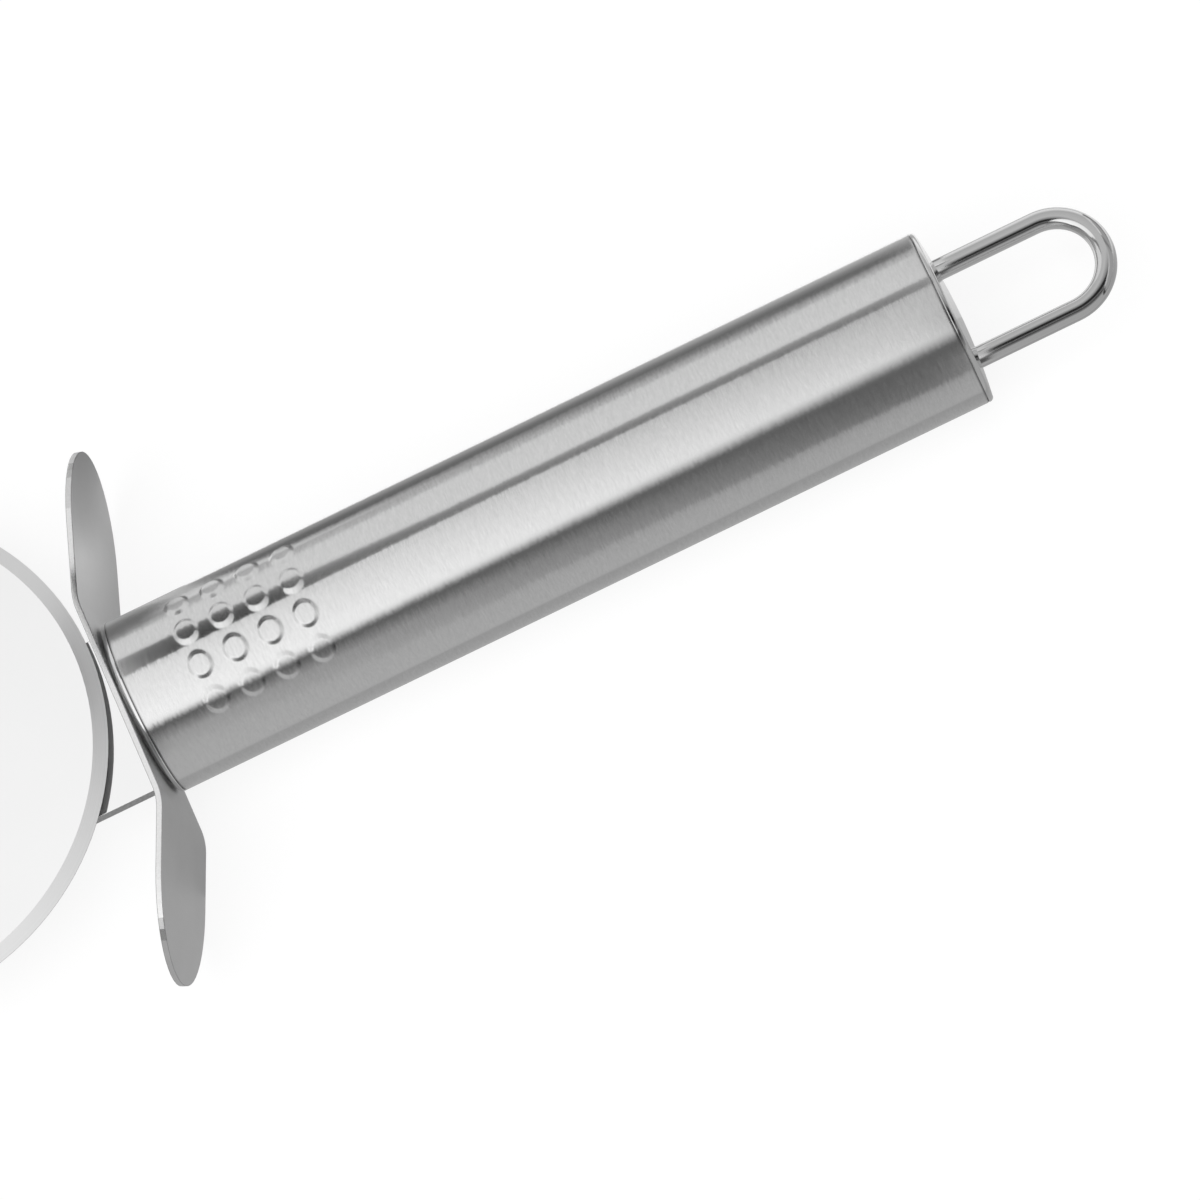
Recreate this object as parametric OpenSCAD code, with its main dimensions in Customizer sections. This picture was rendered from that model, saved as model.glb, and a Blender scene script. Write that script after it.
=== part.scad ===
// Pizza wheel lying on its side. X runs along the handle towards the hang loop,
// Y runs across it in the plane of the wheel, and Z is the wheel's axis.
// The origin is the middle of the handle tube, on its axis. Sizes are in millimetres.

/* [Handle tube] */
// Outside diameter of the handle tube
tube_d = 25; // [22:0.5:30]
// Length of the handle tube
tube_len = 120; // [90:1:150]
// Wall thickness of the handle tube
tube_wall = 0.8; // [0.6:0.1:1.2]
// Radius of the tube's rounded end edges, which leave a fine groove beside each cap
tube_edge_r = 0.25; // [0.1:0.05:0.4]

/* [Grip dots] */
// Number of raised dots along the handle
dot_columns = 4; // [1:1:6]
// Number of dots round the handle
dot_rows = 4; // [1:1:6]
// Distance between dots along the handle
dot_pitch = 5.2; // [4.4:0.1:6]
// Angle between the rows of dots, round the handle
dot_row_angle = 23.7; // [23:0.1:26]
// Diameter of a dot at its foot, along the handle
dot_d = 3.6; // [3.3:0.1:3.9]
// Diameter of a dot's flat top, along the handle
dot_top_d = 2.6; // [2:0.1:2.8]
// Height of a dot above the tube
dot_height = 0.34; // [0.25:0.01:0.45]
// Distance from the tube's front rim to the first ring of dots
dot_start = 10.4; // [9:0.1:20]

/* [End caps] */
// Thickness of the rim that closes each end of the tube
cap_rim_t = 0.75; // [0.75:0.05:1.2]
// Radius of the rounded edge of the front rim
front_edge_r = 0.6; // [0.3:0.05:0.7]
// Radius of the rounded edge of the front cap's raised face
cap_face_edge_r = 0.35; // [0.2:0.05:0.5]
// Radius of the rounded edge of the rear rim
rear_edge_r = 0.65; // [0.3:0.05:0.7]
// Sheet thickness of the caps
cap_sheet = 1; // [0.8:0.1:1.4]
// Length of the skirt that reaches into the tube
cap_skirt_len = 6; // [4:0.5:7]
// Diameter of the front cap's raised face, which the guard bears on
cap_face_d = 22; // [18:0.5:24]
// Height of the front cap's raised face
cap_face_h = 0.45; // [0.2:0.05:0.8]
// Height of the rear cap's dome above its rim
cap_dome_h = 0.85; // [0.4:0.05:1.5]

/* [Hang loop] */
// Wire diameter of the hang loop
loop_wire_d = 3; // [2.4:0.1:3.4]
// Radius of the loop's round end, to the middle of the wire
loop_bend_r = 6.9; // [5:0.1:7.5]
// Reach of the loop past the tube's rear rim
loop_reach = 24.1; // [18:0.1:35]
// Diameter of the heads that lock the wire's ends
loop_head_d = 4.6; // [4.2:0.1:5]
// Thickness of those heads
loop_head_t = 1.2; // [0.8:0.1:2]
// Thickness of the plate that the heads bear on
loop_plate_t = 1.5; // [1:0.1:2]

/* [Finger guard] */
// Thickness of the guard's strip
guard_t = 0.8; // [0.6:0.1:1.2]
// Width of the guard's strip
guard_w = 24; // [20:0.5:25]
// Flat length of the guard from the handle's axis to the upper bend
guard_flat_up = 12.3; // [11:0.1:16]
// Flat length of the guard from the handle's axis to the lower bend
guard_flat_down = 15; // [11:0.1:16]
// Inside radius of both bends
guard_bend_r = 8; // [4:0.5:12]
// Angle by which the upper wing leans back to the handle
guard_up_angle = 18.3; // [5:0.1:25]
// Angle by which the lower wing leans forward to the wheel
guard_down_angle = 23.4; // [5:0.1:26]
// Length of the upper wing past its bend
guard_up_len = 23; // [18:0.5:28]
// Length of the lower wing past its bend
guard_down_len = 21; // [18:0.5:28]
// Length of the round end of each wing
guard_tip_len = 13; // [8:0.5:15]

/* [Wheel bracket] */
// Thickness of the bracket's plate
bracket_t = 2; // [1.5:0.1:2.5]
// Width of the bracket where it meets the guard
bracket_w = 23.4; // [18:0.1:24]
// Radius of the bracket's eye round the axle
bracket_eye_r = 9.5; // [8:0.1:12]
// Radius of the hollow curve above the eye
bracket_hollow_r = 30; // [20:1:40]
// Radius of the long curve below the eye
bracket_belly_r = 30; // [27:0.5:40]
// Width of the tang that runs into the handle
tang_w = 14; // [10:0.5:15]
// Length of the tang behind the guard
tang_len = 12; // [8:0.5:20]
// Diameter of the pin through the tang
tang_pin_d = 2.5; // [2:0.1:3]
// Length of that pin
tang_pin_len = 12; // [8:0.5:16]
// Thickness of the plate between the pin and the cap
tang_plate_t = 1.5; // [1:0.1:2]
// Diameter of that plate
tang_plate_d = 18; // [16.5:0.5:19]

/* [Wheel] */
// Diameter of the cutting wheel
wheel_d = 71.5; // [60:0.5:74]
// Thickness of the wheel
wheel_t = 1.2; // [1:0.1:1.6]
// Width of the ground bevel on each side
wheel_bevel_w = 2; // [1:0.1:4]
// Thickness left at the cutting edge
wheel_edge_t = 0.1; // [0.05:0.05:0.2]
// Clearance between the guard's front face and the wheel's edge
wheel_gap = 1.75; // [1:0.25:10]
// Distance of the axle from the handle's axis, across it
wheel_offset = 10; // [6:0.5:12]
// Diameter of the hole in the wheel
wheel_bore_d = 9; // [8:0.5:11]
// Thickness of the spacer washer between the bracket and the wheel
spacer_t = 0.8; // [0.6:0.1:1.5]
// Diameter of the spacer washer
spacer_d = 14; // [12.5:0.5:18]

/* [Axle] */
// Diameter of the rivet's shoulder, on which the wheel turns
axle_d = 5; // [4:0.5:6]
// Diameter of the rivet's tenon in the bracket
tenon_d = 4; // [3:0.5:3.9]
// Diameter of the rivet's front head
rivet_head_d = 13; // [11:0.5:16]
// Height of the front head's dome
rivet_dome_h = 1.8; // [1:0.1:3]
// Height of the straight rim under each head's dome
rivet_rim_h = 0.4; // [0.2:0.1:0.8]
// Diameter of the head that is closed behind the bracket
rivet_tail_d = 8.5; // [7:0.5:12]
// Height of that head's dome
rivet_tail_h = 1; // [0.6:0.1:2]
// Thickness of the bush's flange, on the wheel's front
bush_flange_t = 0.5; // [0.4:0.1:1]
// Diameter of the bush's flange
bush_flange_d = 12; // [11.5:0.5:15]
// Thickness of the washer under the rivet's front head
head_washer_t = 0.5; // [0.4:0.1:1]
// Diameter of that washer
head_washer_d = 14.5; // [13:0.5:18]

/* [Fits] */
// Radial clearance of the running fit between the bush and the axle
running_gap = 0.05; // [0.02:0.01:0.1]
// Play of the wheel along its axle, on each side
end_play = 0.05; // [0.02:0.01:0.1]
// Radial clearance of pieces that are pressed, spot-welded or riveted together
seat_gap = 0.03; // [0.01:0.01:0.05]
// Clearance of the tang in its slots, on each side
slot_gap = 0.1; // [0.05:0.05:0.2]

/* [Hidden] */
$fn = 96;
// Facets of the large circles that low domes are cut from
dome_facets = 960;
// Facets of the small circles that round the tube's end edges
edge_facets = 32;
// Steps in each worked-out arc of an outline
arc_steps = 24;
// How far a dot's cone reaches before the round top cuts it, as a share of the dot's height
cone_rise_share = 1.5;
// How far every cut runs past the face that it leaves
overrun = 1;

tube_r = tube_d / 2;
bore_r = tube_r - tube_wall;
front_x = -tube_len / 2;
rear_x = tube_len / 2;

// Places along the handle, from the front rim towards the wheel
guard_back_x = front_x - cap_rim_t - cap_face_h;
guard_front_x = guard_back_x - guard_t;
wheel_x = guard_front_x - wheel_gap - wheel_d / 2;
wheel_pos = [wheel_x, wheel_offset];

// Middles of the guard's bends: the upper one is behind the strip, the lower one in front
upper_bend = [guard_back_x + guard_bend_r, guard_flat_up];
lower_bend = [guard_front_x - guard_bend_r, -guard_flat_down];

// Places inside the handle
skirt_r = bore_r - seat_gap;
front_inner_x = guard_back_x + cap_sheet;
tang_plate_back_x = front_inner_x + tang_plate_t;
tang_pin_x = tang_plate_back_x + seat_gap + tang_pin_d / 2;
rear_inner_x = rear_x + cap_rim_t - cap_sheet;
loop_plate_x = rear_inner_x - loop_plate_t;
loop_head_x = loop_plate_x - loop_head_t;

// Heights along the axle, from the bracket's front face upwards
bracket_top_z = bracket_t / 2;
spacer_top_z = bracket_top_z + spacer_t;
wheel_bottom_z = spacer_top_z + end_play;
wheel_top_z = wheel_bottom_z + wheel_t;
flange_top_z = wheel_top_z + bush_flange_t;
washer_bottom_z = flange_top_z + end_play;
washer_top_z = washer_bottom_z + head_washer_t;

// Points along an arc, from one angle to another
function arc_points(centre, radius, from, to) =
    [for (step = [0:arc_steps])
        let (angle = from + (to - from) * step / arc_steps)
        centre + radius * [cos(angle), sin(angle)]];

// Direction of one point seen from another, between 0 and 360 degrees
function heading(from, to) =
    let (angle = atan2(to[1] - from[1], to[0] - from[0]))
    angle < 0 ? angle + 360 : angle;

// Turns a shape that stands on Z so that it lies along X
module along_x(x) {
    translate([x, 0, 0])
        rotate([0, 90, 0])
            children();
}

// Half section of a disc with its upper outer edge rounded
module rounded_profile(radius, height, edge) {
    square([radius, height - edge]);
    square([radius - edge, height]);
    translate([radius - edge, height - edge])
        intersection() {
            circle(r = edge);
            square(edge);
        }
}

// Half section of a low dome with a flat base
module dome_profile(radius, height) {
    ball_r = (radius * radius + height * height) / (2 * height);
    intersection() {
        translate([0, height - ball_r])
            circle(r = ball_r, $fn = dome_facets);
        square([radius, height]);
    }
}

// Disc on Z with its upper outer edge rounded
module rounded_disc(radius, height, edge) {
    rotate_extrude()
        rounded_profile(radius, height, edge);
}

// Low dome on Z = 0
module dome(radius, height) {
    rotate_extrude()
        dome_profile(radius, height);
}

// Flat ring on Z = 0
module ring(outer_r, inner_r, height) {
    difference() {
        cylinder(r = outer_r, h = height);
        translate([0, 0, -overrun])
            cylinder(r = inner_r, h = height + 2 * overrun);
    }
}

// Cone on Z whose side runs from below a dot's foot, at Z = 0, to past the edge of its top
module dot_cone(root) {
    flare = (dot_d - dot_top_d) / 2 / dot_height;
    rise = dot_height * cone_rise_share;
    translate([0, 0, -root])
        cylinder(
            r1 = dot_d / 2 + root * flare,
            r2 = dot_d / 2 - rise * flare,
            h = root + rise
        );
}

// Every dot, on a tube of the given radius. The tops are as round as the tube is
module grip_dots(radius, root) {
    first_angle = -dot_row_angle * (dot_rows - 1) / 2;
    intersection() {
        along_x(front_x)
            cylinder(r = radius + dot_height, h = tube_len);
        for (column = [0:dot_columns - 1])
            for (row = [0:dot_rows - 1])
                translate([front_x + dot_start + column * dot_pitch, 0, 0])
                    rotate([first_angle + row * dot_row_angle, 0, 0])
                        translate([0, 0, radius])
                            dot_cone(root);
    }
}

// Half section of the tube's wall, with both outer edges rounded
module tube_profile() {
    edge_at = tube_r - tube_edge_r;
    translate([bore_r, 0])
        square([edge_at - bore_r, tube_len]);
    translate([edge_at, tube_edge_r])
        square([tube_edge_r, tube_len - 2 * tube_edge_r]);
    for (along = [tube_edge_r, tube_len - tube_edge_r])
        translate([edge_at, along])
            circle(r = tube_edge_r, $fn = edge_facets);
}

// Brushed tube with the dots pressed out of its wall, so that each is hollow from inside
module handle_tube() {
    color("silver")
        difference() {
            union() {
                along_x(front_x)
                    rotate_extrude()
                        tube_profile();
                grip_dots(tube_r, tube_wall / 2);
            }
            grip_dots(bore_r, tube_wall / 2);
        }
}

// Slot for the tang, through everything from one place to another along X
module tang_slot(from_x, to_x) {
    translate([from_x, -tang_w / 2 - slot_gap, -bracket_t / 2 - slot_gap])
        cube([to_x - from_x, tang_w + 2 * slot_gap, bracket_t + 2 * slot_gap]);
}

// Pressed cap with a rounded rim, a raised face and a skirt inside the tube
module front_cap() {
    color("gainsboro")
        difference() {
            union() {
                mirror([1, 0, 0])
                    along_x(-front_x)
                        rounded_disc(tube_r, cap_rim_t, front_edge_r);
                mirror([1, 0, 0])
                    along_x(-front_x)
                        rounded_disc(cap_face_d / 2, cap_rim_t + cap_face_h, cap_face_edge_r);
                along_x(front_x)
                    cylinder(r = skirt_r, h = cap_skirt_len);
            }
            along_x(front_inner_x)
                cylinder(r = skirt_r - cap_sheet, h = cap_skirt_len + cap_sheet + overrun);
            tang_slot(guard_back_x - overrun, front_x + overrun);
        }
}

// Both places of the loop's legs
module at_legs() {
    for (side = [-1, 1])
        translate([0, side * loop_bend_r, 0])
            children();
}

// Holes for the loop's legs, along X
module leg_holes(from_x, to_x) {
    at_legs()
        along_x(from_x)
            cylinder(r = loop_wire_d / 2 + seat_gap, h = to_x - from_x);
}

// Domed cap with a rounded rim, a skirt inside the tube and two holes for the wire
module rear_cap() {
    dome_r = tube_r - rear_edge_r;
    cavity_h = rear_inner_x - rear_x + cap_skirt_len;
    color("gainsboro")
        difference() {
            along_x(rear_x - cap_skirt_len)
                rotate_extrude() {
                    translate([0, cap_skirt_len])
                        rounded_profile(tube_r, cap_rim_t, rear_edge_r);
                    translate([0, cap_skirt_len + cap_rim_t])
                        dome_profile(dome_r, cap_dome_h);
                    difference() {
                        square([skirt_r, cap_skirt_len]);
                        translate([-overrun, -overrun])
                            square([skirt_r - cap_sheet + overrun, cavity_h + overrun]);
                    }
                }
            leg_holes(rear_inner_x - overrun, rear_x + cap_rim_t + cap_dome_h + overrun);
        }
}

// Wire bent to a long loop, with a head on each end inside the handle
module hang_loop() {
    bend_x = rear_x + loop_reach - loop_bend_r - loop_wire_d / 2;
    color("silver") {
        at_legs()
            along_x(loop_plate_x)
                cylinder(d = loop_wire_d, h = bend_x - loop_plate_x);
        at_legs()
            along_x(loop_head_x)
                cylinder(d = loop_head_d, h = loop_head_t);
        translate([bend_x, 0, 0])
            rotate([0, 0, -90])
                rotate_extrude(angle = 180)
                    translate([loop_bend_r, 0])
                        circle(d = loop_wire_d);
    }
}

// Plate inside the rear cap that the heads of the loop's wire bear on
module loop_plate() {
    plate_r = skirt_r - cap_sheet - seat_gap;
    color("darkgray")
        difference() {
            along_x(loop_plate_x)
                cylinder(r = plate_r, h = loop_plate_t);
            leg_holes(loop_plate_x - overrun, rear_inner_x + overrun);
        }
}

// Corner of the strip's square end, past a bend that it has followed clockwise to an angle
function wing_end(centre, radius, angle, length) =
    centre + radius * [cos(angle), sin(angle)] + length * [sin(angle), -cos(angle)];

// Outline of the strip seen along Z, up its front face and down its back face
function guard_outline() =
    let (
        inner_r = guard_bend_r,
        outer_r = guard_bend_r + guard_t,
        up = 180 - guard_up_angle,
        down = -guard_down_angle
    )
    concat(
        [wing_end(lower_bend, inner_r, down, guard_down_len)],
        arc_points(lower_bend, inner_r, down, 0),
        arc_points(upper_bend, outer_r, 180, up),
        [wing_end(upper_bend, outer_r, up, guard_up_len)],
        [wing_end(upper_bend, inner_r, up, guard_up_len)],
        arc_points(upper_bend, inner_r, up, 180),
        arc_points(lower_bend, outer_r, 0, down),
        [wing_end(lower_bend, outer_r, down, guard_down_len)]);

// What is cut from the square end of a wing that runs along Y, to leave a round tip
module tip_waste(length) {
    half = guard_w / 2;
    straight = length - guard_tip_len;
    tip = [for (step = [0:arc_steps])
        let (angle = -90 + 180 * step / arc_steps)
        [straight + guard_tip_len * cos(angle), half * sin(angle)]];
    corners = [
        [straight, half + overrun],
        [length + overrun, half + overrun],
        [length + overrun, -half - overrun],
        [straight, -half - overrun]
    ];
    translate([-overrun, 0, 0])
        rotate([90, 0, 90])
            linear_extrude(guard_t + 2 * overrun)
                polygon(concat(tip, corners));
}

// Strip bent to a flat S: the upper wing leans back, the lower wing leans forward
module finger_guard() {
    color("lightgray")
        difference() {
            translate([0, 0, -guard_w / 2])
                linear_extrude(guard_w)
                    polygon(guard_outline());
            translate(upper_bend)
                rotate([0, 0, -guard_up_angle])
                    translate([-guard_bend_r - guard_t, 0, 0])
                        tip_waste(guard_up_len);
            translate(lower_bend)
                rotate([0, 0, -guard_down_angle])
                    translate([guard_bend_r, 0, 0])
                        mirror([0, 1, 0])
                            tip_waste(guard_down_len);
            tang_slot(guard_front_x - overrun, guard_back_x + overrun);
        }
}

// Outline of the bracket's plate: a hollow curve runs into the eye from above,
// and a long round belly runs out of it below
function bracket_outline() =
    let (
        half = bracket_w / 2,
        hollow_y = half + bracket_hollow_r,
        hollow_reach = bracket_eye_r + bracket_hollow_r,
        hollow_rise = hollow_y - wheel_offset,
        hollow = [wheel_x + sqrt(hollow_reach * hollow_reach - hollow_rise * hollow_rise), hollow_y],
        belly_y = bracket_belly_r - half,
        belly_reach = bracket_belly_r - bracket_eye_r,
        belly_rise = belly_y - wheel_offset,
        belly = [wheel_x + sqrt(belly_reach * belly_reach - belly_rise * belly_rise), belly_y],
        hollow_end = heading(hollow, wheel_pos),
        belly_end = heading(belly, wheel_pos)
    )
    concat(
        [[guard_front_x, -half], [guard_front_x, half]],
        arc_points(hollow, bracket_hollow_r, 270, hollow_end),
        arc_points(wheel_pos, bracket_eye_r, hollow_end - 180, belly_end),
        arc_points(belly, bracket_belly_r, belly_end, 270));

// Flat plate behind the wheel, with a tang that runs through the guard into the handle
module wheel_bracket() {
    color("gainsboro")
        difference() {
            translate([0, 0, -bracket_t / 2])
                linear_extrude(bracket_t) {
                    polygon(bracket_outline());
                    translate([guard_front_x, -tang_w / 2])
                        square([guard_t + tang_len, tang_w]);
                }
            translate([wheel_x, wheel_offset, -bracket_t / 2 - overrun])
                cylinder(r = tenon_d / 2 + seat_gap, h = bracket_t + 2 * overrun);
            translate([tang_pin_x, 0, -bracket_t / 2 - overrun])
                cylinder(r = tang_pin_d / 2 + seat_gap, h = bracket_t + 2 * overrun);
        }
}

// Plate inside the front cap, threaded on the tang
module tang_plate() {
    color("darkgray")
        difference() {
            along_x(front_inner_x)
                cylinder(d = tang_plate_d, h = tang_plate_t);
            tang_slot(front_inner_x - overrun, tang_plate_back_x + overrun);
        }
}

// Pin through the tang, which holds the plate, the cap and the guard against its shoulders
module tang_pin() {
    color("darkgray")
        translate([tang_pin_x, 0, -tang_pin_len / 2])
            cylinder(d = tang_pin_d, h = tang_pin_len);
}

// Places a shape on the wheel's axis, at a height above the handle's axis
module on_axle(z) {
    translate([wheel_x, wheel_offset, z])
        children();
}

// Round blade with a bevel ground on both sides of its edge
module cutting_wheel() {
    wheel_r = wheel_d / 2;
    half = wheel_t / 2;
    half_edge = wheel_edge_t / 2;
    color("whitesmoke")
        on_axle(wheel_bottom_z + half)
            rotate_extrude()
                polygon([
                    [wheel_bore_d / 2, -half],
                    [wheel_r - wheel_bevel_w, -half],
                    [wheel_r, -half_edge],
                    [wheel_r, half_edge],
                    [wheel_r - wheel_bevel_w, half],
                    [wheel_bore_d / 2, half]
                ]);
}

// Flanged bush pressed into the wheel, which turns on the rivet
module wheel_bush() {
    bush_bore_r = axle_d / 2 + running_gap;
    color("goldenrod")
        on_axle(wheel_bottom_z) {
            ring(wheel_bore_d / 2 - seat_gap, bush_bore_r, wheel_t);
            translate([0, 0, wheel_t])
                ring(bush_flange_d / 2, bush_bore_r, bush_flange_t);
        }
}

// Washer that keeps the wheel off the bracket
module spacer_washer() {
    color("silver")
        on_axle(bracket_top_z)
            ring(spacer_d / 2, axle_d / 2 + running_gap, spacer_t);
}

// Washer between the bush and the rivet's head
module head_washer() {
    color("silver")
        on_axle(washer_bottom_z)
            ring(head_washer_d / 2, axle_d / 2 + running_gap, head_washer_t);
}

// Shouldered rivet with a domed head in front and a closed head behind the bracket
module axle_rivet() {
    color("lightgray") {
        on_axle(washer_top_z)
            cylinder(d = rivet_head_d, h = rivet_rim_h);
        on_axle(washer_top_z + rivet_rim_h)
            dome(rivet_head_d / 2, rivet_dome_h);
        on_axle(bracket_top_z)
            cylinder(d = axle_d, h = washer_top_z - bracket_top_z);
        on_axle(-bracket_top_z)
            cylinder(d = tenon_d, h = bracket_t);
        on_axle(-bracket_top_z - rivet_rim_h)
            cylinder(d = rivet_tail_d, h = rivet_rim_h);
        on_axle(-bracket_top_z - rivet_rim_h)
            mirror([0, 0, 1])
                dome(rivet_tail_d / 2, rivet_tail_h);
    }
}

handle_tube();
front_cap();
rear_cap();
hang_loop();
loop_plate();
finger_guard();
wheel_bracket();
tang_plate();
tang_pin();
cutting_wheel();
wheel_bush();
spacer_washer();
head_washer();
axle_rivet();
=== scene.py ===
"""Pizza wheel: materials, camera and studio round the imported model. Lengths are in metres."""

import math

import bpy
from mathutils import Matrix, Vector


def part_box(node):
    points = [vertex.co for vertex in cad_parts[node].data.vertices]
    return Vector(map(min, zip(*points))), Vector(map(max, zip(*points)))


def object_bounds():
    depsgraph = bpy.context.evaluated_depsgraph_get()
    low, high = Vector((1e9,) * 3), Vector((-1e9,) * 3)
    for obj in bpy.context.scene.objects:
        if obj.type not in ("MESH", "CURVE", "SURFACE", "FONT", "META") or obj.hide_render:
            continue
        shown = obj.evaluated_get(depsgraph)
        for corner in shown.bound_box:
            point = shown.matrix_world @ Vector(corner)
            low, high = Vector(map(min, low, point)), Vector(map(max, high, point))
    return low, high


class Surface:
    """A surface's look.

    tone is its darkest and brightest grey, finish its smoothest and roughest state, and grain
    the waves per metre of its marks along X, Y and Z.
    """

    def __init__(self, tone, finish, grain):
        self.tone = tone
        self.finish = finish
        self.grain = grain


MM = 0.001

# The photograph's camera, in the part's frame
PICTURE_PX = 1200
FOCAL_PX = 7337
SENSOR_MM = 36
VIEW_TARGET = Vector((1.67, -14.55, 0)) * MM
VIEW_DIRECTION = Vector((0.0508, -0.3416, 0.9385)).normalized()
VIEW_DISTANCE = 980.4 * MM
VIEW_ROLL = math.radians(25.78)
VIEW_LIMIT = 100

# Floor, fill light and sun
FLOOR_SIZE = 12
FLOOR_GLOW = 0.84
FLOOR_TONE = 0.2
FILL_STRENGTH = 0.35
SUN_STRENGTH = 1.9
SUN_SPREAD = math.radians(60)
SUN_DIRECTION = Vector((-0.25, -0.35, 1))

# Surfaces of the steel pieces
TUBE = Surface(tone=(0.63, 0.88), finish=(0.2, 0.26), grain=(2600, 420, 420))
CAP = Surface(tone=(0.76, 0.8), finish=(0.084, 0.168), grain=(900, 900, 900))
WIRE = Surface(tone=(0.72, 0.76), finish=(0.07, 0.14), grain=(120, 1600, 1600))
INNER_SHEET = Surface(tone=(0.48, 0.52), finish=(0.21, 0.42), grain=(300, 300, 300))
GUARD_FACE = Surface(tone=(0.62, 0.7), finish=(0.4, 0.5), grain=(2600, 2600, 420))
GUARD_EDGE = Surface(tone=(0.66, 0.8), finish=(0.16, 0.16), grain=GUARD_FACE.grain)
PLATE_FACE = Surface(tone=(0.86, 0.86), finish=(0.035, 0.07), grain=(700, 90, 700))
PLATE_EDGE = Surface(tone=(0.3, 0.75), finish=(0.4, 0.4), grain=(2500, 2500, 2500))
BLADE_FACE = Surface(tone=(0.85, 0.88), finish=(0.03, 0.08), grain=(60, 60, 60))
NOISE_ROUGHNESS = 0.6

# Brushing of the tube, and the painted shade in the seams at its ends. The turn is in radians,
# either way.
BRUSH_GRAIN = (7000, 1300, 1300)
BRUSH_TURN = 0.05
BRUSH_STRETCH = 0.93
QUARTER_TURN = 0.25
SEAM_WIDTH = 0.35 * MM
SEAM_SHADE = 0.25

# Bevel of the wheel. Its marks are rings, in waves per metre of radius.
BEVEL_WIDTH = 2 * MM
BEVEL_TONE = (0.66, 0.82)
BEVEL_FINISH = (0.34, 0.44)
BEVEL_RINGS = 9000
# Painted shade on the back of the bevel, which faces down towards the bracket
BACK_BEVEL_PAINTED_SHADE = 0.3

# Turned brass of the bush
BRASS_COLOUR = (0.72, 0.55, 0.28, 1)
BRASS_FINISH = (0.2, 0.35)
BRASS_GRAIN = (700, 700, 700)

# Radii that the shading rounds edges to
DOT_FILLET = 0.4 * MM
EDGE_FILLET = 0.18 * MM
GUARD_FILLET = 0.2 * MM
FILLET_SAMPLES = 6

# Painted shade on the guard's corners, as a share of the tone of its faces
CORNER_SHADE = 0.45

# How far the shading turns the grip dots' walls towards the plain tube, from 0 to 1
DOT_SOFTNESS = 0.34

# Studio cards: how far they run along X in mm, and their steps along and across
CARD_REACH = (-900, 900)
BEHIND_GUARD = (-50, 900)
CARD_STEPS = 4
CARD_COLUMNS = 16
CARD_LIFT = 0.3 * MM

# Radii of the cards that curve round the handle. Where two overlap, the nearer one shows.
KEY_RADIUS = 280 * MM
EDGE_RADIUS = 270 * MM
FLANK_RADIUS = 260 * MM
STREAK_RADIUS = 50 * MM
STREAK_FRONT_RADIUS = 40 * MM
WIRE_RADIUS = 40 * MM

# Cards round the wire loop: where they run along X in mm, and for each of them the first and
# last place in degrees and the first and last level
WIRE_REACH = (63, 110)
WIRE_CARDS = (
    (-105, -62, 0.44, 0.44),
    (-62, -40, 0.3, 0),
    (-40, -24, 0.24, 0),
    (-24, -8, 0, 0.06),
    (-8, 14, 0.2, 0.56),
    (14, 66, 0.6, 0.5),
    (66, 84, 0.6, 0.9),
    (84, 104, 0.9, 0.9),
)

# Upright cards beyond both ends of the handle
END_CARD_X = 350 * MM
END_CARD_WIDTH = 500 * MM
END_CARD_HEIGHT = 250 * MM
END_CARD_LEVEL = 0.4


def new_material(name):
    """A node material that holds only its output."""
    material = bpy.data.materials.new(name)
    material.use_nodes = True
    tree = material.node_tree
    tree.nodes.clear()
    tree.nodes.new("ShaderNodeOutputMaterial")
    return material, tree


def finish_material(tree, shader):
    """Joins the last shader to the material's output."""
    output = tree.nodes["Material Output"]
    tree.links.new(shader, output.inputs["Surface"])


def node(tree, kind, inputs=None, **settings):
    """Adds a node. Inputs are values, or sockets to link from."""
    made = tree.nodes.new(kind)
    for key, value in settings.items():
        setattr(made, key, value)
    for key, value in (inputs or {}).items():
        if isinstance(value, bpy.types.NodeSocket):
            tree.links.new(value, made.inputs[key])
        else:
            made.inputs[key].default_value = value
    return made


def calc(tree, operation, *values):
    """One step of arithmetic on values."""
    made = node(tree, "ShaderNodeMath", dict(enumerate(values)), operation=operation)
    return made.outputs["Value"]


def vector_node(tree, operation, *vectors):
    """One step of arithmetic on vectors, as a node."""
    inputs = dict(enumerate(vectors))
    return node(tree, "ShaderNodeVectorMath", inputs, operation=operation)


def vector_calc(tree, operation, *vectors):
    """One step of arithmetic on vectors, whose answer is a vector."""
    return vector_node(tree, operation, *vectors).outputs["Vector"]


def scaled(tree, vector, factor):
    """A vector or colour times a value."""
    made = node(tree, "ShaderNodeVectorMath", {0: vector, "Scale": factor}, operation="SCALE")
    return made.outputs["Vector"]


def mixed(tree, kind, share, low, high):
    """What lies a share of the way from low to high. The kind is FLOAT, VECTOR or RGBA."""
    made = node(tree, "ShaderNodeMix", {"Factor": share, "A": low, "B": high}, data_type=kind)
    return made.outputs["Result"]


def remap(tree, value, low, high, start=0, end=1):
    """Turns a value that runs from start to end into one that runs from low to high."""
    inputs = {
        "Value": value,
        "From Min": start,
        "From Max": end,
        "To Min": low,
        "To Max": high,
    }
    return node(tree, "ShaderNodeMapRange", inputs).outputs["Result"]


def grey(value):
    """A neutral colour."""
    return (value, value, value, 1)


def tinted(tree, value, low, high):
    """A neutral colour that runs between two greys as a value runs from 0 to 1."""
    return mixed(tree, "RGBA", value, grey(low), grey(high))


def object_point(tree):
    """The point on the part, in the part's own frame."""
    return node(tree, "ShaderNodeTexCoord").outputs["Object"]


def surface_normal(tree):
    """The direction that the surface faces."""
    return node(tree, "ShaderNodeNewGeometry").outputs["Normal"]


def facing_z(tree):
    """1 where the surface faces +Z, -1 where it faces -Z and 0 where it faces sideways."""
    return node(tree, "ShaderNodeSeparateXYZ", {"Vector": surface_normal(tree)}).outputs["Z"]


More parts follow.
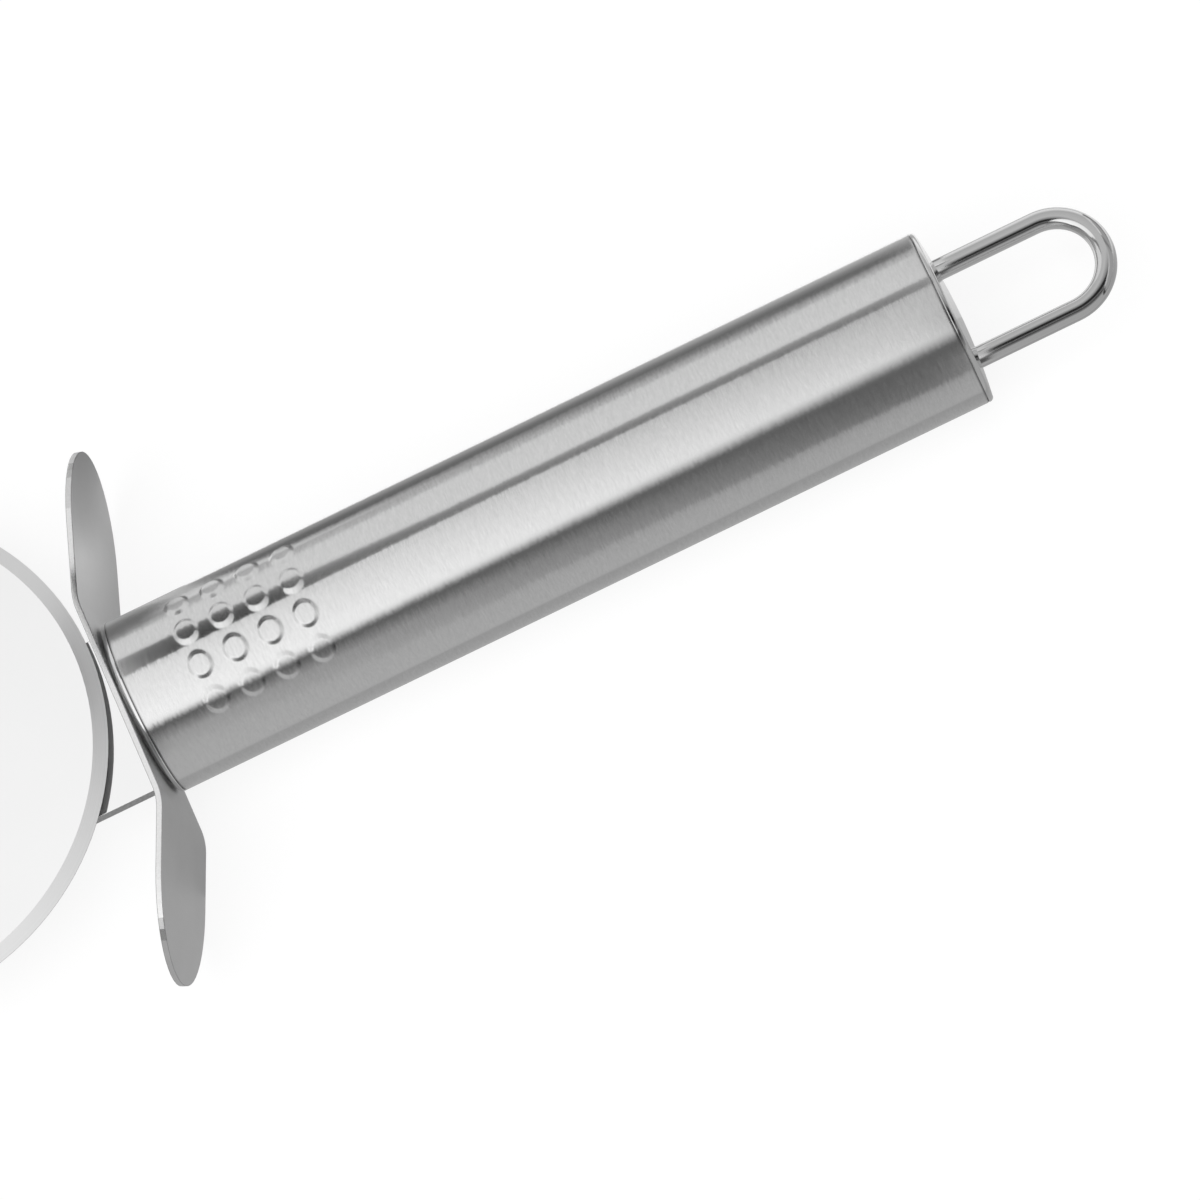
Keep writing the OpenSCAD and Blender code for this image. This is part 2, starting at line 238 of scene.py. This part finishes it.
def noise(tree, grain, detail):
    """Noise from 0 to 1, with its own grain along X, Y and Z, in waves per metre."""
    point = vector_calc(tree, "MULTIPLY", object_point(tree), grain)
    inputs = {"Vector": point, "Scale": 1, "Detail": detail, "Roughness": NOISE_ROUGHNESS}
    return node(tree, "ShaderNodeTexNoise", inputs).outputs["Fac"]


def cloud(tree, waves):
    """Slow, even noise for faint changes of tone, in waves per metre."""
    return noise(tree, (waves, waves, waves), detail=2)


def bump(tree, height, strength, depth):
    """The surface's direction, tilted by marks of a real depth."""
    inputs = {"Height": height, "Strength": strength, "Distance": depth}
    return node(tree, "ShaderNodeBump", inputs).outputs["Normal"]


def filleted(tree, radius, normal=None):
    """The surface's direction, as if its edges were rounded to a radius."""
    made = node(tree, "ShaderNodeBevel", {"Radius": radius}, samples=FILLET_SAMPLES)
    if normal is not None:
        tree.links.new(normal, made.inputs["Normal"])
    return made.outputs["Normal"]


def metal(tree, colour, roughness, normal=None):
    """Bare metal, joined to the material's output."""
    inputs = {"Base Color": colour, "Metallic": 1, "Roughness": roughness}
    shader = node(tree, "ShaderNodeBsdfPrincipled", inputs)
    if normal is not None:
        tree.links.new(normal, shader.inputs["Normal"])
    finish_material(tree, shader.outputs["BSDF"])
    return shader


def soft_dot_normal(tree):
    """The tube's direction, with the grip dots' walls leaning less, as pressing leaves them."""
    rounded = filleted(tree, DOT_FILLET)
    from_axis = vector_calc(tree, "MULTIPLY", object_point(tree), (0, 1, 1))
    outward = vector_calc(tree, "NORMALIZE", from_axis)
    softened = mixed(tree, "VECTOR", DOT_SOFTNESS, rounded, outward)
    return vector_calc(tree, "NORMALIZE", softened)


def brushed_normal(tree, marks):
    """The tube's direction, turned round the tube by its brushing marks."""
    normal = soft_dot_normal(tree)
    round_tube = vector_calc(tree, "CROSS_PRODUCT", (1, 0, 0), normal)
    shift = scaled(tree, round_tube, remap(tree, marks, -BRUSH_TURN, BRUSH_TURN))
    return vector_calc(tree, "NORMALIZE", vector_calc(tree, "ADD", normal, shift))


def tube_seam_shade(tree, half_length):
    """1 on the tube, and less within a seam's width of its ends, half_length from the middle:
    painted shade in the seams.
    """
    x = node(tree, "ShaderNodeSeparateXYZ", {"Vector": object_point(tree)}).outputs["X"]
    from_middle = calc(tree, "ABSOLUTE", x)
    return remap(
        tree, from_middle, 1, SEAM_SHADE, start=half_length - SEAM_WIDTH, end=half_length
    )


def brushed_tube_material(half_length):
    """Steel tube brushed round its axis, with painted shade in the seam at each end.

    The brushing spreads light along the tube and leaves it sharp round the tube.
    """
    material, tree = new_material("brushed_tube_steel")
    fine = noise(tree, BRUSH_GRAIN, detail=2)
    coarse = noise(tree, TUBE.grain, detail=3)
    marks = calc(tree, "MULTIPLY", calc(tree, "ADD", fine, coarse), 0.5)
    # The tone gets painted shade in the seams at the tube's ends
    tone = scaled(tree, tinted(tree, marks, *TUBE.tone), tube_seam_shade(tree, half_length))
    finish = remap(tree, coarse, *TUBE.finish)
    shader = metal(tree, tone, finish, brushed_normal(tree, marks))
    shader.inputs["Anisotropic"].default_value = BRUSH_STRETCH
    shader.inputs["Anisotropic Rotation"].default_value = QUARTER_TURN
    tangent = node(tree, "ShaderNodeTangent", direction_type="RADIAL", axis="X")
    tree.links.new(tangent.outputs["Tangent"], shader.inputs["Tangent"])
    return material


def polished_material(name, surface):
    """Polished steel with faint marks."""
    material, tree = new_material(name)
    marks = noise(tree, surface.grain, detail=4)
    tone = tinted(tree, cloud(tree, 90), *surface.tone)
    finish = remap(tree, marks, *surface.finish)
    normal = filleted(tree, EDGE_FILLET, bump(tree, marks, strength=0.3, depth=2e-6))
    metal(tree, tone, finish, normal)
    return material


def satin_material():
    """Guard strip: fine satin faces and smoother cut edges, with painted shade where the two meet.
    """
    material, tree = new_material("satin_guard_steel")
    marks = noise(tree, GUARD_FACE.grain, detail=3)
    is_edge = remap(tree, calc(tree, "ABSOLUTE", facing_z(tree)), 0, 1, start=0.5, end=0.85)
    face_tone = tinted(tree, cloud(tree, 120), *GUARD_FACE.tone)
    edge_tone = tinted(tree, marks, *GUARD_EDGE.tone)
    tone = mixed(tree, "RGBA", is_edge, face_tone, edge_tone)
    face_finish = remap(tree, marks, *GUARD_FACE.finish)
    edge_finish = remap(tree, marks, *GUARD_EDGE.finish)
    finish = mixed(tree, "FLOAT", is_edge, face_finish, edge_finish)
    rounded = filleted(tree, GUARD_FILLET)
    flatness = vector_node(tree, "DOT_PRODUCT", rounded, surface_normal(tree)).outputs["Value"]
    # Painted shade where the rounded direction turns from the flat face
    corner_shade = remap(tree, flatness, CORNER_SHADE, 1, start=0.75, end=0.98)
    normal = filleted(tree, GUARD_FILLET, bump(tree, marks, strength=0.5, depth=5e-6))
    metal(tree, scaled(tree, tone, corner_shade), finish, normal)
    return material


def plate_material():
    """Bracket: mirror faces, and grey, speckled cut edges."""
    material, tree = new_material("mirror_plate_steel")
    marks = noise(tree, PLATE_FACE.grain, detail=4)
    speckle = noise(tree, PLATE_EDGE.grain, detail=3)
    is_face = calc(tree, "GREATER_THAN", calc(tree, "ABSOLUTE", facing_z(tree)), 0.5)
    edge_tone = tinted(tree, speckle, *PLATE_EDGE.tone)
    face_tone = tinted(tree, marks, *PLATE_FACE.tone)
    tone = mixed(tree, "RGBA", is_face, edge_tone, face_tone)
    edge_finish = remap(tree, speckle, *PLATE_EDGE.finish)
    face_finish = remap(tree, marks, *PLATE_FACE.finish)
    finish = mixed(tree, "FLOAT", is_face, edge_finish, face_finish)
    metal(tree, tone, finish, filleted(tree, EDGE_FILLET))
    return material


def blade_material(centre, flat_r):
    """Wheel: mirror faces, and outside flat_r a satin ground bevel with ring marks and painted
    shade on its back.
    """
    material, tree = new_material("ground_blade_steel")
    from_centre = vector_calc(tree, "SUBTRACT", object_point(tree), centre)
    in_plane = vector_calc(tree, "MULTIPLY", from_centre, (1, 1, 0))
    radius = vector_node(tree, "LENGTH", in_plane).outputs["Value"]
    is_bevel = calc(tree, "GREATER_THAN", radius, flat_r)
    is_front = calc(tree, "GREATER_THAN", facing_z(tree), 0)
    clouds = noise(tree, BLADE_FACE.grain, detail=3)
    rings = node(
        tree,
        "ShaderNodeTexNoise",
        {"W": radius, "Scale": BEVEL_RINGS, "Detail": 2},
        noise_dimensions="1D",
    ).outputs["Fac"]
    front_tone = tinted(tree, rings, *BEVEL_TONE)
    # The bevel's back, which faces down, gets a flat painted shade
    bevel_tone_and_back_shade = mixed(tree, "RGBA", is_front, grey(BACK_BEVEL_PAINTED_SHADE), front_tone)
    tone = mixed(tree, "RGBA", is_bevel, tinted(tree, clouds, *BLADE_FACE.tone), bevel_tone_and_back_shade)
    face_finish = remap(tree, clouds, *BLADE_FACE.finish)
    bevel_finish = remap(tree, rings, *BEVEL_FINISH)
    finish = mixed(tree, "FLOAT", is_bevel, face_finish, bevel_finish)
    ridges = calc(tree, "MULTIPLY", rings, is_bevel)
    metal(tree, tone, finish, bump(tree, ridges, strength=0.4, depth=3e-6))
    return material


def brass_material():
    """Turned bush."""
    material, tree = new_material("bush_brass")
    marks = noise(tree, BRASS_GRAIN, detail=3)
    metal(tree, BRASS_COLOUR, remap(tree, marks, *BRASS_FINISH))
    return material


def dress(material, *names):
    """Gives CAD nodes their material."""
    for name in names:
        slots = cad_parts[name].data.materials
        for index in range(len(slots)):
            slots[index] = material


def dress_pieces():
    """Makes the materials and dresses all the pieces."""
    low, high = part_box("cutting_wheel")
    wheel_centre = (low + high) / 2
    flat_r = (high.x - low.x) / 2 - BEVEL_WIDTH
    tube_low, tube_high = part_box("handle_tube")
    tube_half = (tube_high.x - tube_low.x) / 2

    cap_steel = polished_material("polished_cap_steel", CAP)
    inner_steel = polished_material("inner_sheet_steel", INNER_SHEET)
    dress(brushed_tube_material(tube_half), "handle_tube")
    dress(cap_steel, "front_cap", "rear_cap", "spacer_washer", "head_washer", "axle_rivet")
    dress(polished_material("polished_wire_steel", WIRE), "hang_loop")
    dress(plate_material(), "wheel_bracket")
    dress(inner_steel, "loop_plate", "tang_plate", "tang_pin")
    dress(satin_material(), "finger_guard")
    dress(blade_material(wheel_centre, flat_r), "cutting_wheel")
    dress(brass_material(), "wheel_bush")


def build_camera():
    """The photograph's camera: long lens, rolled so that the handle climbs to the right."""
    back = VIEW_DIRECTION
    level = Vector((1, 0, 0))
    level = (level - level.dot(back) * back).normalized()
    across = back.cross(level)
    right = math.cos(VIEW_ROLL) * level - math.sin(VIEW_ROLL) * across
    up = back.cross(right)
    place = VIEW_TARGET + back * VIEW_DISTANCE
    data = bpy.data.cameras.new("camera")
    data.sensor_width = SENSOR_MM
    data.lens = FOCAL_PX * SENSOR_MM / PICTURE_PX
    data.clip_end = VIEW_LIMIT
    camera = bpy.data.objects.new("camera", data)
    bpy.context.scene.collection.objects.link(camera)
    turn = Matrix((right, up, back)).transposed()
    camera.matrix_world = Matrix.Translation(place) @ turn.to_4x4()
    bpy.context.scene.camera = camera


def seen_directly(tree):
    """1 for what the camera sees, straight or in a reflection or through glass, and 0 for light."""
    path = node(tree, "ShaderNodeLightPath").outputs
    straight_or_mirrored = calc(tree, "MAXIMUM", path["Is Camera Ray"], path["Is Glossy Ray"])
    return calc(tree, "MAXIMUM", straight_or_mirrored, path["Is Transmission Ray"])


def build_world():
    """White to the camera, to reflections and through glass, and a softer fill to all else."""
    world = bpy.data.worlds.new("studio")
    bpy.context.scene.world = world
    world.use_nodes = True
    tree = world.node_tree
    tree.nodes.clear()
    strength = remap(tree, seen_directly(tree), FILL_STRENGTH, 1)
    sky = node(tree, "ShaderNodeBackground", {"Color": grey(1), "Strength": strength})
    output = node(tree, "ShaderNodeOutputWorld")
    tree.links.new(sky.outputs["Background"], output.inputs["Surface"])


def build_sun():
    """One very soft lamp, high on the camera's side, for the shadow on the floor."""
    data = bpy.data.lights.new("sun", "SUN")
    data.energy = SUN_STRENGTH
    data.angle = SUN_SPREAD
    sun = bpy.data.objects.new("sun", data)
    bpy.context.scene.collection.objects.link(sun)
    sun.rotation_mode = "QUATERNION"
    sun.rotation_quaternion = SUN_DIRECTION.to_track_quat("Z", "Y")
    sun.visible_glossy = False


def sheet(name, corners, columns=1):
    """A sheet of four-sided faces. Its corners come row by row, with columns faces to a row."""
    width = columns + 1
    rows = len(corners) // width - 1
    faces = [
        (r * width + c, r * width + c + 1, (r + 1) * width + c + 1, (r + 1) * width + c)
        for r in range(rows)
        for c in range(columns)
    ]
    mesh = bpy.data.meshes.new(name)
    mesh.from_pydata(corners, [], faces)
    made = bpy.data.objects.new(name, mesh)
    bpy.context.scene.collection.objects.link(made)
    return made


def build_floor(height):
    """Pale floor: white to the camera and to reflections, with the part's soft shadow."""
    half = FLOOR_SIZE / 2
    corners = [(x, y, height) for x in (-half, half) for y in (-half, half)]
    floor = sheet("floor", corners)
    material, tree = new_material("floor_white")
    strength = calc(tree, "MULTIPLY", seen_directly(tree), FLOOR_GLOW)
    glow = node(tree, "ShaderNodeEmission", {"Color": grey(1), "Strength": strength})
    matt = node(tree, "ShaderNodeBsdfDiffuse", {"Color": grey(FLOOR_TONE)})
    both = node(tree, "ShaderNodeAddShader", {0: glow.outputs[0], 1: matt.outputs[0]})
    finish_material(tree, both.outputs[0])
    floor.data.materials.append(material)


def glow_only_in_reflections(made, levels):
    """Gives a sheet its grey levels, one for each corner, and hides it from all but reflections."""
    layer = made.data.color_attributes.new("level", "FLOAT_COLOR", "POINT")
    for point, level in zip(layer.data, levels):
        point.color = grey(level)
    material, tree = new_material(made.name)
    level = node(tree, "ShaderNodeAttribute", attribute_name="level").outputs["Color"]
    glow = node(tree, "ShaderNodeEmission", {"Color": level, "Strength": 1})
    finish_material(tree, glow.outputs[0])
    made.data.materials.append(material)
    made.visible_camera = False
    made.visible_diffuse = False
    made.visible_shadow = False
    made.visible_transmission = False


def blend(low, high, share):
    """The value at a share of the way from low to high."""
    return low + (high - low) * share


def card(name, front, rear, reach, corner):
    """A studio card that only reflections see.

    front and rear are (x in mm, first place, last place, first level, last level). The card
    changes evenly from one to the other, and beyond them it runs on unchanged as far as
    reach. corner(x, place) gives a corner's position. A level of 1 is white.
    """
    front_x = front[0]
    rear_x = rear[0]
    steps = [blend(front_x, rear_x, step / CARD_STEPS) for step in range(CARD_STEPS + 1)]
    corners = []
    levels = []
    for x in (reach[0], *steps, reach[1]):
        along = (min(max(x, front_x), rear_x) - front_x) / (rear_x - front_x)
        first, last, first_level, last_level = (
            blend(low, high, along) for low, high in zip(front[1:], rear[1:])
        )
        for column in range(CARD_COLUMNS + 1):
            across = column / CARD_COLUMNS
            corners.append(corner(x, blend(first, last, across)))
            levels.append(blend(first_level, last_level, across))
    glow_only_in_reflections(sheet(name, corners, CARD_COLUMNS), levels)


def arch_card(name, radius, front, rear, reach=CARD_REACH):
    """A card curved round the handle. Its places are degrees from straight up towards +Y."""

    def corner(x, place):
        angle = math.radians(place)
        return (x * MM, radius * math.sin(angle), radius * math.cos(angle))

    card(name, front, rear, reach, corner)


def floor_card(name, height, front, rear, reach=CARD_REACH):
    """A card that lies flat just above the floor. Its places are Y in mm."""
    card(name, front, rear, reach, lambda x, place: (x * MM, place * MM, height))


def end_card(name, x):
    """An upright card across the handle's line, from its axis up, that only reflections see."""
    half = END_CARD_WIDTH / 2
    corners = [(x, y, z) for z in (0, END_CARD_HEIGHT) for y in (-half, half)]
    glow_only_in_reflections(sheet(name, corners), [END_CARD_LEVEL] * len(corners))


def build_tube_cards():
    """The bands that the tube mirrors, from the camera's side over the top to the far side."""
    # Dark flank on the camera's side
    arch_card("card_front_fade", FLANK_RADIUS, (-90, -98, -70, 0.58, 0.5), (90, -98, -72, 0.1, 0))
    arch_card("card_front_dark", FLANK_RADIUS, (-90, -70, -50, 0.5, 0.06), (90, -72, -50, 0, 0.14))

    # Broad bright band and its sharp border
    arch_card("card_key_edge", EDGE_RADIUS, (-90, -50, -43, 0.06, 1.2), (90, -50, -33, 0.14, 0.7))
    arch_card("card_key", KEY_RADIUS, (-90, -43, 26, 1.28, 1.0), (90, -33, 26, 0.8, 0.44))

    # Dark streak along the whole tube, from a front and a rear piece
    arch_card(
        "card_slit_front",
        STREAK_FRONT_RADIUS,
        (-50, 18, 39, 0, 0.08),
        (-38, 19, 36, 0.06, 0.15),
        reach=(-64, -38),
    )
    arch_card(
        "card_slit",
        STREAK_RADIUS,
        (-38.5, 20.5, 38, 0.06, 0.15),
        (-16, 21.5, 32, 0.18, 0.3),
        reach=(-38.5, 900),
    )

    # Bright band on the far side, which darkens towards the floor
    arch_card("card_rear_key", KEY_RADIUS, (-90, 36, 78, 0.8, 0.8), (90, 36, 78, 0.8, 0.7))
    arch_card("card_rear_fade", KEY_RADIUS, (-90, 78, 104, 0.6, 0.4), (90, 78, 98, 0.62, 0.04))


def build_wire_cards():
    """The bands that the wire loop mirrors."""
    start, end = WIRE_REACH
    for bounds in WIRE_CARDS:
        name = f"card_wire_{bounds[0]}"
        arch_card(name, WIRE_RADIUS, (start, *bounds), (end, *bounds), WIRE_REACH)


def build_end_cards():
    """The grey that faces mirror where they look along the handle."""
    end_card("card_end_front", -END_CARD_X)
    end_card("card_end_rear", END_CARD_X)


def build_floor_cards(height):
    """The bands just above the white floor that the tube's flanks and the guard mirror."""
    # Under the handle and on the camera's side
    floor_card("floor_card_under", height, (-90, -24, 4, 0.4, 0.45), (90, -24, 4, 0.36, 0.5))
    floor_card("floor_card_front", height, (-90, -400, -24, 0.56, 0.52), (90, -400, -24, 0, 0.46))

    # On the far side, from the guard forwards: painted shadow of the guard's wing on the floor,
    # seen only in reflections
    wing_shadow = (4, 60, 0.36, 0.8)
    floor_card("floor_card_wing", height, (-90, *wing_shadow), (-50, *wing_shadow), reach=(-900, -50))

    # On the far side, along the tube
    for name, front, rear in (
        ("floor_card_bright", (-50, 4, 26, 0.6, 1.1), (90, 4, 26, 0.6, 1.1)),
        ("floor_card_back", (-50, 26, 50, 0.36, 0.14), (90, 26, 56, 0.6, 0.3)),
        ("floor_card_dark", (-50, 50, 96, 0.14, 0.14), (90, 56, 96, 0.3, 0.14)),
        ("floor_card_far", (-50, 96, 400, 0.4, 0.6), (90, 96, 400, 0.06, 0.06)),
    ):
        floor_card(name, height, front, rear, BEHIND_GUARD)


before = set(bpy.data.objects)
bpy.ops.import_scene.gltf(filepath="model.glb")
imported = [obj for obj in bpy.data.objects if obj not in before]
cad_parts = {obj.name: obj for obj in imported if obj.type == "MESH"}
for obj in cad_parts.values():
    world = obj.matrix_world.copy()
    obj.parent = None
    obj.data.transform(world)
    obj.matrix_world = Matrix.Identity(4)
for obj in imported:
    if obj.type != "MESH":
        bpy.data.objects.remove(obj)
cad_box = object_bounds()
floor_z = cad_box[0].z
bpy.context.scene.view_settings.view_transform = "Standard"

dress_pieces()
build_camera()
build_world()
build_sun()
build_floor(floor_z)
build_tube_cards()
build_wire_cards()
build_end_cards()
build_floor_cards(floor_z + CARD_LIFT)
